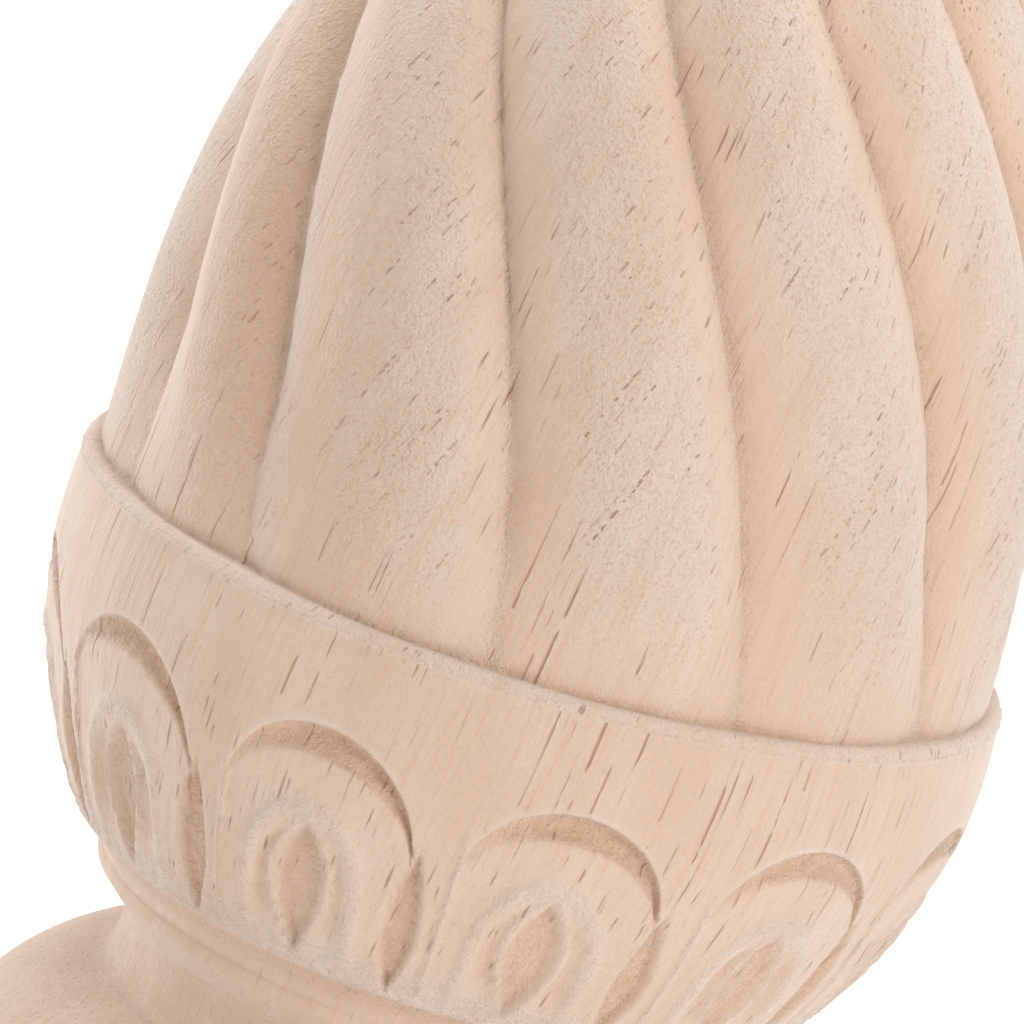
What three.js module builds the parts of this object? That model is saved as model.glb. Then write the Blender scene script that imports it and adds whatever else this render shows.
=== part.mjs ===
// Carved wooden post cap: a swirled bulb standing in a cup of petals, on a turned neck and foot.
// One piece of bare wood. Millimetres, +Z up, origin at the centre of the flat underside.

import * as THREE from 'three';

// Driving dimensions
const LOBES = 12;

const FOOT_RADIUS = 37.2;
const FOOT_HEIGHT = 7.0;
const FOOT_EDGE = 1.2;

const SHOULDER_RADIUS = 38.3;
const SHOULDER_ROUND = 17.2;
const SHOULDER_TURN_UNDER = 0.2;

const NECK_RADIUS = 25.5;
const NECK_HEIGHT = 1.4;
const COVE_ROUND = 3.9;
const COVE_ANGLE = 0.84;

const RING_RADIUS = 29.2;
const RING_HEIGHT = 1.4;
const RING_SET_OFF = 2.2;
const FLARE_HEIGHT = 4.2;
const LEDGE_STEP = 0.2;

const CUP_RADIUS = 40.0;
const CUP_CARVED_HEIGHT = 23.0;
const CUP_BAND_HEIGHT = 6.5;

const LIP_WIDTH = 0.8;
const LIP_EDGE = 0.5;
const GROOVE_GAP = 0.1;
const GROOVE_DEPTH = 0.4;

const BULB_HEIGHT = 82.0;
const BULB_SWELL = 2.68;
const BULB_NOSE = 0.95;

const CREASE_DEPTH = 2.6;
const CREASE_DEPTH_AT_RIM = 0.5;
const CREASE_RUN_OUT = 14.0;
const FACET_SHARE = 0.42;
const CREST_SHARE = 0.62;
const FACET_FALL = 1.6;
const CREST_FALL = 2.3;
const TWIST_AT_RIM = 0.0045;
const TWIST_GAIN = 0.00016;

// Carving of one petal: heights in millimetres below the rim, widths as shares of half a petal
const ARCH_TOP = 8.2;
const ARCH_SHARE = 0.85;
const ARCH_SPAN = 0.985;
const GOUGE_WIDTH = 2.8;
const GOUGE_WALL = 0.5;
const GOUGE_DEPTH = 1.3;
const GOUGE_HORN_SHARE = 0.35;
const ALMOND_TOP = 15.8;
const ALMOND_BOTTOM = 28.2;
const ALMOND_SHARE = 0.25;
const ALMOND_DEPTH = 1.4;
const DART_TOP = 13.0;
const DART_BOTTOM = 28.8;
const DART_SHARE = 0.19;
const DART_DEPTH = 1.9;
const LEAF_BELLY = 0.8;

// Facets
const FOOT_COLUMNS = 60;
const SHOULDER_ROWS = 6;
const COVE_ROWS = 3;
const BAND_ROWS = [0.34, 0.72];
const CARVED_ROWS = [0.09, 0.19, 0.34, 0.48, 0.61, 0.74, 0.87];
const LOBE_COLUMNS = [0, 0.16, 0.32, 0.46, 0.6, 0.74, 0.86, 0.95];
const BULB_ROWS = 17;

// Heights worked out from the driving dimensions
const shoulderCentre = SHOULDER_RADIUS - SHOULDER_ROUND;
const shoulderHeight = FOOT_HEIGHT + SHOULDER_ROUND * Math.sin(SHOULDER_TURN_UNDER);
const neckBottom = shoulderHeight + heightOnCircle(SHOULDER_ROUND, NECK_RADIUS - shoulderCentre);
const coveBottom = neckBottom + NECK_HEIGHT;
const coveTop = coveBottom + COVE_ROUND * Math.sin(COVE_ANGLE);
const coveTopRadius = NECK_RADIUS + COVE_ROUND * (1 - Math.cos(COVE_ANGLE));
const ringBottom = coveTop + RING_SET_OFF;
const ringTop = ringBottom + RING_HEIGHT;
const ledgeHeight = ringTop + FLARE_HEIGHT;
const cupCentreHeight = ledgeHeight + CUP_CARVED_HEIGHT;
const rimHeight = cupCentreHeight + CUP_BAND_HEIGHT;
const lipRadius = heightOnCircle(CUP_RADIUS, CUP_BAND_HEIGHT);
const bulbFullRadius = lipRadius - LIP_WIDTH - GROOVE_GAP;
const halfPetal = Math.PI * CUP_RADIUS / LOBES;

function heightOnCircle(radius, across) {
  return Math.sqrt(Math.max(radius * radius - across * across, 0));
}

function clamp(value, low, high) {
  return Math.min(Math.max(value, low), high);
}

function mix(from, to, share) {
  return from + (to - from) * share;
}

// Columns around the whole piece, as shares of a full turn, from their places in one lobe
function turnShares(places, copies) {
  const shares = [];
  for (let copy = 0; copy < copies; copy += 1) {
    for (const place of places) {
      shares.push((copy + place) / copies);
    }
  }
  return shares;
}

// A closed ring of points: at(share) gives the radius, the extra turn and the height
function makeRing(shares, at) {
  const points = shares.map((share) => {
    const { radius, turn, height } = at(share);
    const angle = 2 * Math.PI * share + turn;
    return new THREE.Vector3(radius * Math.cos(angle), radius * Math.sin(angle), height);
  });
  return { shares, points };
}

function plainRing(shares, radius, height) {
  return makeRing(shares, () => ({ radius, turn: 0, height }));
}

// Half width of a leaf shape that starts and ends in a point, at a height below the rim
function leafHalfWidth(depth, top, bottom, halfWidth) {
  const along = clamp((depth - top) / (bottom - top), 0, 1);
  return halfWidth * Math.sin(Math.PI * Math.pow(along, LEAF_BELLY));
}

// A V-shaped cut with a leaf outline, deepest along its middle
function leafCut(across, depth, top, bottom, halfWidth, deepest) {
  const reach = leafHalfWidth(depth, top, bottom, halfWidth);
  if (reach <= 0) {
    return 0;
  }
  return deepest * (reach / halfWidth) * Math.max(0, 1 - Math.abs(across) / reach);
}

// Height of the arch's outer edge below the rim, at a distance from the petal's middle
function archDepth(across) {
  const radius = ARCH_SHARE * halfPetal;
  const reach = clamp(Math.abs(across), 0, radius * ARCH_SPAN);
  return ARCH_TOP + radius - heightOnCircle(radius, reach);
}

// The crescent gouge: a steep wall under the arch's edge that runs out towards the petal.
// It is widest and deepest at the top of the arch and thins out into two horns.
function gougeCut(across, depth) {
  const radius = ARCH_SHARE * halfPetal;
  const fade = Math.sqrt(Math.max(0, 1 - (across / radius) ** 2));
  const width = GOUGE_WIDTH * mix(GOUGE_HORN_SHARE, 1, fade);
  const inward = depth - archDepth(across);
  if (inward <= 0 || inward >= width || Math.abs(across) >= radius) {
    return 0;
  }
  const wall = Math.min(inward / GOUGE_WALL, 1);
  return GOUGE_DEPTH * fade * wall * (1 - (inward / width) ** 2);
}

// How deep the petals are cut at a share of the turn and a height below the rim
function petalCut(share, depth) {
  const place = (share * LOBES) % 1;
  const fromMiddle = (place - 0.5) * 2 * halfPetal;
  const fromEdge = Math.min(place, 1 - place) * 2 * halfPetal;
  const almond = leafCut(fromMiddle, depth, ALMOND_TOP, ALMOND_BOTTOM,
    ALMOND_SHARE * halfPetal, ALMOND_DEPTH);
  const dart = leafCut(fromEdge, depth, DART_TOP, DART_BOTTOM,
    DART_SHARE * halfPetal, DART_DEPTH);
  return Math.max(gougeCut(fromMiddle, depth), almond, dart);
}

// Places of the columns in one petal: the dart beside it, the arch, the almond and its middle
function petalPlaces() {
  const fromMiddle = [
    ALMOND_SHARE / 2,
    ALMOND_SHARE,
    mix(ALMOND_SHARE, ARCH_SHARE, 0.5),
    ARCH_SHARE * 0.9,
    1 - DART_SHARE / 2,
  ];
  const left = fromMiddle.map((share) => 0.5 - share / 2).reverse();
  const right = fromMiddle.map((share) => 0.5 + share / 2);
  return [0, ...left, 0.5, ...right];
}

// A ring on the cup: radius of the ball that it is turned to, less the carving
function cupRing(shares, depthAt) {
  return makeRing(shares, (share) => {
    const depth = depthAt(share);
    const height = rimHeight - depth;
    const ball = heightOnCircle(CUP_RADIUS, height - cupCentreHeight);
    return { radius: ball - petalCut(share, depth), turn: 0, height };
  });
}

// How far the swirl has turned at a height above the rim
function twistAt(height) {
  return -(TWIST_AT_RIM * height + TWIST_GAIN * height * height);
}

// Outer radius of the bulb: full at the rim and rounded over to nothing at the tip
function bulbRadius(height) {
  const up = clamp(height / BULB_HEIGHT, 0, 1);
  return bulbFullRadius * Math.pow(1 - Math.pow(up, BULB_SWELL), BULB_NOSE);
}

// How far a lobe falls back, from 0 on its crest to 1 in the creases: a nearly flat facet rises
// from one crease, and the crest rolls over into the next one
function lobeFall(place) {
  const facet = Math.max(0, 1 - place / FACET_SHARE);
  const roll = Math.max(0, (place - CREST_SHARE) / (1 - CREST_SHARE));
  return Math.pow(facet, FACET_FALL) + Math.pow(roll, CREST_FALL);
}

function lobedRadius(share, height) {
  const place = (share * LOBES) % 1;
  const outer = bulbRadius(height);
  const rise = clamp(height / CREASE_RUN_OUT, 0, 1);
  const deepest = mix(CREASE_DEPTH_AT_RIM, CREASE_DEPTH, rise);
  return outer - deepest * (outer / bulbFullRadius) * lobeFall(place);
}

function footRings(shares) {
  const rings = [];
  const edge = FOOT_RADIUS - FOOT_EDGE;
  rings.push(plainRing(shares, edge / 2, 0));
  rings.push(plainRing(shares, edge, 0));
  rings.push(plainRing(shares, FOOT_RADIUS, FOOT_EDGE));
  rings.push(plainRing(shares, FOOT_RADIUS, FOOT_HEIGHT - FOOT_EDGE));
  rings.push(plainRing(shares, edge, FOOT_HEIGHT));
  const high = Math.acos(clamp((NECK_RADIUS - shoulderCentre) / SHOULDER_ROUND, 0, 1));
  for (let row = 1; row <= SHOULDER_ROWS; row += 1) {
    const angle = mix(-SHOULDER_TURN_UNDER, high, row / SHOULDER_ROWS);
    const radius = shoulderCentre + SHOULDER_ROUND * Math.cos(angle);
    rings.push(plainRing(shares, radius, shoulderHeight + SHOULDER_ROUND * Math.sin(angle)));
  }
  return rings;
}

function neckRings(shares) {
  const rings = [];
  for (let row = 0; row <= COVE_ROWS; row += 1) {
    const angle = COVE_ANGLE * row / COVE_ROWS;
    const radius = NECK_RADIUS + COVE_ROUND * (1 - Math.cos(angle));
    rings.push(plainRing(shares, radius, coveBottom + COVE_ROUND * Math.sin(angle)));
  }
  const ringRadius = Math.max(RING_RADIUS, coveTopRadius);
  const ledgeRadius = heightOnCircle(CUP_RADIUS, CUP_CARVED_HEIGHT) - LEDGE_STEP;
  rings.push(plainRing(shares, ringRadius, ringBottom));
  rings.push(plainRing(shares, ringRadius, ringTop));
  rings.push(plainRing(shares, Math.max(ledgeRadius, ringRadius), ledgeHeight - LEDGE_STEP / 2));
  return rings;
}

function cupRings(shares) {
  const ledgeDepth = rimHeight - ledgeHeight;
  const edgeDepth = (share) => archDepth((((share * LOBES) % 1) - 0.5) * 2 * halfPetal);
  const rings = [cupRing(shares, () => ledgeDepth)];
  for (const row of [...CARVED_ROWS].reverse()) {
    rings.push(cupRing(shares, (share) => mix(edgeDepth(share), ledgeDepth, row)));
  }
  rings.push(cupRing(shares, (share) => edgeDepth(share) + GOUGE_WALL));
  rings.push(cupRing(shares, edgeDepth));
  for (const row of [...BAND_ROWS].reverse()) {
    rings.push(cupRing(shares, (share) => mix(LIP_EDGE, edgeDepth(share), row)));
  }
  rings.push(cupRing(shares, () => LIP_EDGE));
  return rings;
}

function lipRings(shares) {
  return [
    plainRing(shares, lipRadius - LIP_EDGE, rimHeight),
    plainRing(shares, lipRadius - LIP_WIDTH, rimHeight),
  ];
}

function bulbRings(shares) {
  const rings = [makeRing(shares, (share) => ({
    radius: lobedRadius(share, 0) - GROOVE_GAP,
    turn: 0,
    height: rimHeight - GROOVE_DEPTH,
  }))];
  for (let row = 0; row < BULB_ROWS; row += 1) {
    const up = mix(GROOVE_DEPTH, BULB_HEIGHT, Math.sin(Math.PI / 2 * row / BULB_ROWS));
    rings.push(makeRing(shares, (share) => ({
      radius: lobedRadius(share, up),
      turn: twistAt(up),
      height: rimHeight + up,
    })));
  }
  return rings;
}

// Triangles between two rings, the lower one first, whatever their numbers of columns
function stitch(lower, upper, triangles) {
  const next = (ring, index) => (index + 1 < ring.shares.length ? ring.shares[index + 1] : 1);
  const point = (ring, index) => ring.first + (index % ring.shares.length);
  let low = 0;
  let high = 0;
  while (low < lower.shares.length || high < upper.shares.length) {
    const lowNext = low < lower.shares.length ? next(lower, low) : Infinity;
    const highNext = high < upper.shares.length ? next(upper, high) : Infinity;
    if (lowNext <= highNext) {
      triangles.push(point(lower, low), point(lower, low + 1), point(upper, high));
      low += 1;
    } else {
      triangles.push(point(lower, low), point(upper, high + 1), point(upper, high));
      high += 1;
    }
  }
}

// One closed surface from rings listed from the bottom up, shut by a point at each end
function closedSurface(rings, bottom, top) {
  const points = [bottom];
  for (const ring of rings) {
    ring.first = points.length;
    points.push(...ring.points);
  }
  points.push(top);
  const triangles = [];
  const first = rings[0];
  const last = rings[rings.length - 1];
  for (let index = 0; index < first.shares.length; index += 1) {
    const after = (index + 1) % first.shares.length;
    triangles.push(0, first.first + after, first.first + index);
  }
  for (let row = 0; row + 1 < rings.length; row += 1) {
    stitch(rings[row], rings[row + 1], triangles);
  }
  for (let index = 0; index < last.shares.length; index += 1) {
    const after = (index + 1) % last.shares.length;
    triangles.push(last.first + index, last.first + after, points.length - 1);
  }
  const geometry = new THREE.BufferGeometry().setFromPoints(points);
  geometry.setIndex(triangles);
  geometry.computeVertexNormals();
  return geometry;
}

function makePostCap() {
  const around = turnShares([0], FOOT_COLUMNS);
  const petals = turnShares(petalPlaces(), LOBES);
  const lobes = turnShares(LOBE_COLUMNS, LOBES);
  const rings = [
    ...footRings(around),
    ...neckRings(around),
    ...cupRings(petals),
    ...lipRings(petals),
    ...bulbRings(lobes),
  ];
  const underside = new THREE.Vector3(0, 0, 0);
  const tip = new THREE.Vector3(0, 0, rimHeight + BULB_HEIGHT);
  const wood = new THREE.MeshStandardMaterial({ color: 0xdcc0a6, roughness: 0.8, metalness: 0 });
  const mesh = new THREE.Mesh(closedSurface(rings, underside, tip), wood);
  mesh.name = 'post_cap';
  return mesh;
}

const cap = new THREE.Group();
cap.add(makePostCap());

export default cap;
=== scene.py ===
"""Looks of a carved wooden post cap: a swirled bulb in a cup of petals on a turned neck and foot.

The cap is one block of bare wood, so one closed surface stands for it. The surface is worked out as
rings of points round the turning axis, from the flat underside to the tip. Sizes are in millimetres
and angles in radians unless a name says otherwise; points are turned into metres as the mesh is made.
"""

import logging
import math
from dataclasses import dataclass, field
from enum import Enum

import bpy
import numpy as np
from mathutils import Matrix, Vector


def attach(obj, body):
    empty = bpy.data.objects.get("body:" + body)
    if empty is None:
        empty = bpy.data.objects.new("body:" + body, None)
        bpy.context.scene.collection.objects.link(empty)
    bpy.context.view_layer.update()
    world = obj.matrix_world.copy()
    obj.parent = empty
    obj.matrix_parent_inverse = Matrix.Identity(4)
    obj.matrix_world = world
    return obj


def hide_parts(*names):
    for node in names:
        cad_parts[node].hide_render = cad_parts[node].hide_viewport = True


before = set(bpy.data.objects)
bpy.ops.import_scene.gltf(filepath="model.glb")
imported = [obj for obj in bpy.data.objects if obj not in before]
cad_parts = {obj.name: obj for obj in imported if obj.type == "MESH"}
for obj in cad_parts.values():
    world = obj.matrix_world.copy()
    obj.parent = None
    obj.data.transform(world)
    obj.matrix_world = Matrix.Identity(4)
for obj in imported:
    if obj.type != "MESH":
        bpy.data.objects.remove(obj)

log = logging.getLogger("post_cap")

MM = 0.001
NODE = "post_cap"
BODY = "root"
IMAGE_PIXELS = 1024
CARVINGS = 12
FULL_TURN = 2.0 * math.pi

Colour = tuple[float, float, float, float]
Ramp = tuple[float, float, float, float]
Span = tuple[float, float]
Sockets = dict[str, bpy.types.NodeSocket]


class Glow(Enum):
    """Which job a studio light has."""

    KEY = "key"
    TOP = "top"
    EDGE = "edge"


class Joint(Enum):
    """How the columns of one skin meet those of the skin above it."""

    FINER = "finer"
    COARSER = "coarser"


def mix(low: np.ndarray | float, high: np.ndarray | float, share: np.ndarray | float) -> np.ndarray:
    """Blend from low to high: low + (high - low) * share."""
    return low + (high - low) * share


def smooth_step(value: np.ndarray, low: float, high: float) -> np.ndarray:
    """Rise from 0 at low to 1 at high with level ends: 3 t^2 - 2 t^3.

    Args:
        value: The values to be mapped.
        low: Where the rise starts.
        high: Where the rise ends; it may be below low, for a fall.

    Returns:
        An array of the same shape, from 0 to 1.
    """
    share = np.clip((value - low) / (high - low), 0.0, 1.0)
    return share * share * (3.0 - 2.0 * share)


def bump(value: np.ndarray, middle: float, width: float) -> np.ndarray:
    """A rounded bump, 1 at its middle: e^-((value - middle) / width)^2."""
    return np.exp(-(((value - middle) / width) ** 2))


def ball_radius(radius: float, off_centre: np.ndarray) -> np.ndarray:
    """Radius of a ball's level section: the root of radius^2 - off_centre^2."""
    return np.sqrt(np.maximum(radius * radius - off_centre * off_centre, 0.0))


def lattice_noise(points: np.ndarray, cell: float, seed: int) -> np.ndarray:
    """Smooth noise: random values on a cubic lattice, blended in three directions.

    Args:
        points: Places, with x, y and z in the last dimension.
        cell: Distance between two lattice points, in the places' own unit.
        seed: Which set of random values to use.

    Returns:
        Values from -1 to 1, one for each place.
    """
    size = 32
    table = np.random.default_rng(seed).uniform(-1.0, 1.0, (size, size, size))
    place = points / cell
    low = np.floor(place).astype(int)
    part = place - low
    part = part * part * (3.0 - 2.0 * part)
    total = np.zeros(points.shape[:-1])
    for corner in np.ndindex(2, 2, 2):
        index = (low + np.array(corner)) % size
        weight = np.prod(np.where(np.array(corner) == 1, part, 1.0 - part), axis=-1)
        total += weight * table[index[..., 0], index[..., 1], index[..., 2]]
    return total


def arc(across: float, up: float, radius: float, start: float, end: float, rows: int) -> np.ndarray:
    """Points on a circle in the turned profile: centre + radius * (cos, sin) of an even sweep.

    Args:
        across: The centre's distance from the axis.
        up: The centre's height.
        radius: The circle's radius.
        start: Angle of the first point, in degrees from straight outwards.
        end: Angle of the last point, in degrees.
        rows: How many points.

    Returns:
        An array of rows by two: distance from the axis and height.
    """
    angle = np.radians(np.linspace(start, end, rows))
    return np.stack([across + radius * np.cos(angle), up + radius * np.sin(angle)], axis=1)


def column_places(count: int, gather: float) -> np.ndarray:
    """Columns in one carving, closer together beside its two edges.

    The place is t - gather * sin(2 pi t) / (2 pi) for even steps t from 0 up to, not including, 1.

    Args:
        count: How many columns one carving has.
        gather: How strongly they crowd to the edges, from 0 to 1.

    Returns:
        Places from 0 up to 1.
    """
    even = np.arange(count) / count
    return even - gather * np.sin(2.0 * np.pi * even) / (2.0 * np.pi)


def around(columns: int, gather: float) -> np.ndarray:
    """Where the columns of all the carvings stand, as shares of a full turn.

    Args:
        columns: How many columns one carving has.
        gather: How strongly they crowd to its edges, from 0 to 1.

    Returns:
        Shares from 0 up to 1.
    """
    return (np.arange(CARVINGS)[:, None] + column_places(columns, gather)).ravel() / CARVINGS


@dataclass(frozen=True)
class Grain:
    """Which way the vessels run, as coordinates in millimetres with Z along them.

    Outside the core the wood is pressed together towards one radius, so that vessels still show as
    long dashes where the surface slopes.
    """

    lean: float = math.radians(7.0)
    crest_lean: float = math.radians(22.0)
    middle: float = 75.0
    full_radius: float = 38.0
    core_radius: float = 26.0
    squeeze: float = 0.25

    def pressed(self, out: np.ndarray, angle: np.ndarray, up: np.ndarray) -> np.ndarray:
        """Turn round coordinates into pressed plain ones.

        The distance from the axis becomes the lower of two: out times one factor, which scales the
        core evenly, and full - squeeze * (full - out).

        Args:
            out: Distance from the axis.
            angle: Angle round the axis.
            up: Height along the axis.

        Returns:
            Points by three.
        """
        core_reach = self.full_radius - self.squeeze * (self.full_radius - self.core_radius)
        outer_reach = self.full_radius - self.squeeze * (self.full_radius - out)
        reach = np.minimum(out * core_reach / self.core_radius, outer_reach)
        return np.stack([reach * np.cos(angle), reach * np.sin(angle), up], axis=1)

    def straight(self, points: np.ndarray) -> np.ndarray:
        """Coordinates for vessels that all run one way, leaning towards +X.

        Args:
            points: Points by three.

        Returns:
            Points by three.
        """
        rise = points[:, 2] - self.middle
        across = points[:, 0] * math.cos(self.lean) - rise * math.sin(self.lean)
        up = points[:, 0] * math.sin(self.lean) + rise * math.cos(self.lean)
        return self.pressed(np.hypot(across, points[:, 1]), np.arctan2(points[:, 1], across), up)

    def swirled(self, points: np.ndarray) -> np.ndarray:
        """Coordinates for marks that lean the same way all round: angle - up * tan(lean) / radius.

        Args:
            points: Points by three.

        Returns:
            Points by three.
        """
        angle = np.arctan2(points[:, 1], points[:, 0])
        angle = angle - (points[:, 2] - self.middle) * math.tan(self.crest_lean) / self.full_radius
        return self.pressed(np.hypot(points[:, 0], points[:, 1]), angle, points[:, 2])


@dataclass
class Skin:
    """Rings of points round the axis: one row for each ring, from the bottom up."""

    radius: np.ndarray
    angle: np.ndarray
    height: np.ndarray
    # Tan painted into the wood: mostly painted shade in cuts, creases and shaded facets, plus a tan tint on
    # the stem
    tan_and_shade: np.ndarray
    ragged: np.ndarray
    # Crests where the cut crosses the grain, plus painted highlights on a lit wall, the arches' edges and the
    # lip
    crest: np.ndarray

    @classmethod
    def of(cls, radius: np.ndarray, angle: np.ndarray, height: np.ndarray, tan_and_shade: np.ndarray | float = 0.0,
           ragged: np.ndarray | float = 0.0, crest: np.ndarray | float = 0.0) -> "Skin":
        """Stretch all values to one shape of rows by columns.

        Args:
            radius: Distance from the axis.
            angle: Angle round the axis.
            height: Height above the underside.
            tan_and_shade: How tan the wood is painted, from 0 to 1: painted shade in cuts, creases, the rim
                groove and shaded facets, and a tan tint on the stem.
            ragged: How torn the wood is there, from 0 to 1.
            crest: How much the cut crosses the grain there, with painted highlights added on a lit wall, the
                arches' edges and the lip, from 0 to 1.

        Returns:
            A skin whose arrays are all rows by columns.
        """
        values = np.broadcast_arrays(radius, angle, height, tan_and_shade, ragged, crest)
        return cls(*(np.array(value, float) for value in values))

    def points(self) -> np.ndarray:
        """Places of all points in millimetres.

        Returns:
            An array of rows by columns by three.
        """
        across = self.radius * np.cos(self.angle)
        along = self.radius * np.sin(self.angle)
        return np.stack([across, along, self.height], axis=-1)

    def roughen(self, depth: float, cell: float, seed: int) -> None:
        """Shift the surface by smooth noise where it is ragged.

        Args:
            depth: Largest shift along the radius.
            cell: Size of the noise's lumps.
            seed: Which noise.
        """
        self.radius += depth * self.ragged * lattice_noise(self.points(), cell, seed)


@dataclass
class Stem:
    """Foot, shoulder, neck, ring and flare: what is turned round, below the cup."""

    foot_radius: float = 37.2
    foot_height: float = 5.7
    foot_edge: float = 1.2
    shoulder_radius: float = 38.3
    shoulder_round: float = 17.2
    shoulder_turn_under: float = 0.2
    neck_radius: float = 25.5
    neck_height: float = 3.6
    neck_fillet: float = 0.9
    fillet_height: float = 1.1
    cove_round: float = 3.9
    cove_angle: float = 0.84
    ring_radius: float = 29.2
    ring_height: float = 1.4
    ring_set_off: float = 2.2
    ring_edge: float = 0.3
    flare_height: float = 3.3
    flare_sag: float = 0.35
    flare_set_in: float = 0.45
    flare_tan: float = 0.75
    flare_tear: float = 0.6
    turned_tan: float = 0.1
    ledge_radius: float = 32.2
    columns: int = 18
    gather: float = 0.3

    @property
    def shoulder_centre(self) -> float:
        """Distance from the axis of the centre that the shoulder is rounded about."""
        return self.shoulder_radius - self.shoulder_round

    @property
    def shoulder_height(self) -> float:
        """Height of the centre that the shoulder is rounded about."""
        return self.foot_height + self.shoulder_round * math.sin(self.shoulder_turn_under)

    @property
    def neck_bottom(self) -> float:
        """Height at which the shoulder's rounding would meet the neck."""
        across = self.neck_radius - self.shoulder_centre
        return self.shoulder_height + math.sqrt(self.shoulder_round**2 - across**2)

    @property
    def cove_bottom(self) -> float:
        """Height at which the neck starts to widen towards the ring."""
        return self.neck_bottom + self.neck_height

    @property
    def ring_bottom(self) -> float:
        """Height of the ring's lower edge."""
        return self.cove_bottom + self.cove_round * math.sin(self.cove_angle) + self.ring_set_off

    @property
    def ring_top(self) -> float:
        """Height of the ring's upper edge."""
        return self.ring_bottom + self.ring_height

    @property
    def ledge_height(self) -> float:
        """Height of the ledge that the petals stand on."""
        return self.ring_top + self.flare_height

    def profile(self) -> np.ndarray:
        """The turned outline from the middle of the underside to the ledge.

        Returns:
            An array of points by two: distance from the axis and height.
        """
        edge = self.foot_edge
        foot = self.foot_radius - edge
        ring = self.ring_radius - self.ring_edge
        turn_under = math.degrees(self.shoulder_turn_under)
        neck_cosine = (self.neck_radius - self.shoulder_centre) / self.shoulder_round
        shoulder_top = math.degrees(math.acos(neck_cosine))
        cove_end = 180.0 - math.degrees(self.cove_angle)
        flare = np.linspace(0.12, 0.94, 8)
        flare_radius = mix(self.ring_radius, self.ledge_radius - self.flare_set_in, flare)
        flare_radius = flare_radius - self.flare_sag * np.sin(np.pi * flare)
        underside = np.stack([np.linspace(3.0, foot - 1.0, 6), np.zeros(6)], axis=1)
        foot_low = arc(foot, edge, edge, -90.0, 0.0, 6)
        foot_high = arc(foot, self.foot_height - edge, edge, 0.0, 80.0, 6)
        shoulder = arc(self.shoulder_centre, self.shoulder_height, self.shoulder_round,
                       -turn_under, shoulder_top - 2.0, 26)
        fillet = arc(self.neck_radius + self.neck_fillet, self.neck_bottom + self.fillet_height,
                     self.neck_fillet, 250.0, 190.0, 4)
        neck = np.stack([np.full(3, self.neck_radius), self.cove_bottom - np.linspace(2.0, 0.7, 3)], axis=1)
        cove = arc(self.neck_radius + self.cove_round, self.cove_bottom, self.cove_round, 180.0, cove_end, 7)
        ring_low = arc(ring, self.ring_bottom + self.ring_edge, self.ring_edge, -60.0, 0.0, 3)
        ring_high = arc(ring, self.ring_top - self.ring_edge, self.ring_edge, 0.0, 40.0, 3)
        flared = np.stack([flare_radius, mix(self.ring_top, self.ledge_height, flare)], axis=1)
        return np.concatenate([underside, foot_low, foot_high, shoulder, fillet, neck, cove,
                               ring_low, ring_high, flared])

    def skin(self) -> Skin:
        """The stem's rings; the flare grows tan and torn towards the ledge.

        Returns:
            The rings from the underside to the ledge.
        """
        outline = self.profile()
        angle = FULL_TURN * around(self.columns, self.gather)[None, :]
        up = outline[:, 1:]
        flare = smooth_step(up, self.ring_top, self.ledge_height - 1.0)
        tan_and_shade = np.maximum(self.flare_tan * flare, self.turned_tan)
        return Skin.of(outline[:, :1], angle, up, tan_and_shade, self.flare_tear * flare)


@dataclass(frozen=True)
class Leaf:
    """A leaf-shaped cut with a point above and one below.

    Top and bottom are depths below the rim, share is its half width over half a petal's, belly
    places its widest part, and wall is how far in from its edge, as a share, the floor begins.
    """

    top: float
    bottom: float
    share: float
    belly: float
    depth: float
    wall: float

    def inside(self, across: np.ndarray, depth: np.ndarray, half_width: np.ndarray | float,
               margin: float = 0.0) -> np.ndarray:
        """How far inside the outline a point is: 1 on its middle line and 0 on and past its edge.

        The half width is half_width * sin(pi * t^belly), t running from 0 at the top to 1 below, so
        that the widest place is higher up where belly is below 1.

        Args:
            across: Distance from the middle line.
            depth: Depth below the rim.
            half_width: Half the greatest width.
            margin: How far each of the two points is moved outwards.

        Returns:
            Shares from 0 to 1, times the outline's width there over its greatest width.
        """
        top = self.top - margin
        bottom = self.bottom + margin
        along = np.clip((depth - top) / (bottom - top), 0.0, 1.0)
        share = np.sin(np.pi * along**self.belly)
        reach = np.maximum(half_width * share, 1e-6)
        return np.clip(1.0 - np.abs(across) / reach, 0.0, 1.0) * share


@dataclass(frozen=True)
class PetalTones:
    """How tan the floors of the cuts are, a painted shade, and how pale the raised lines, the arris and the
    lip are, painted highlights, from 0 to 1.

    Those of the sliver and the vein are for each millimetre of depth or height.
    """

    gouge: float = 0.72
    almond: float = 0.6
    dart: float = 0.75
    sliver: float = 0.8
    vein: float = 3.0
    bank: float = 0.8
    face: float = 0.3
    arris_highlight: float = 0.8
    lip: float = 0.8


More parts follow.
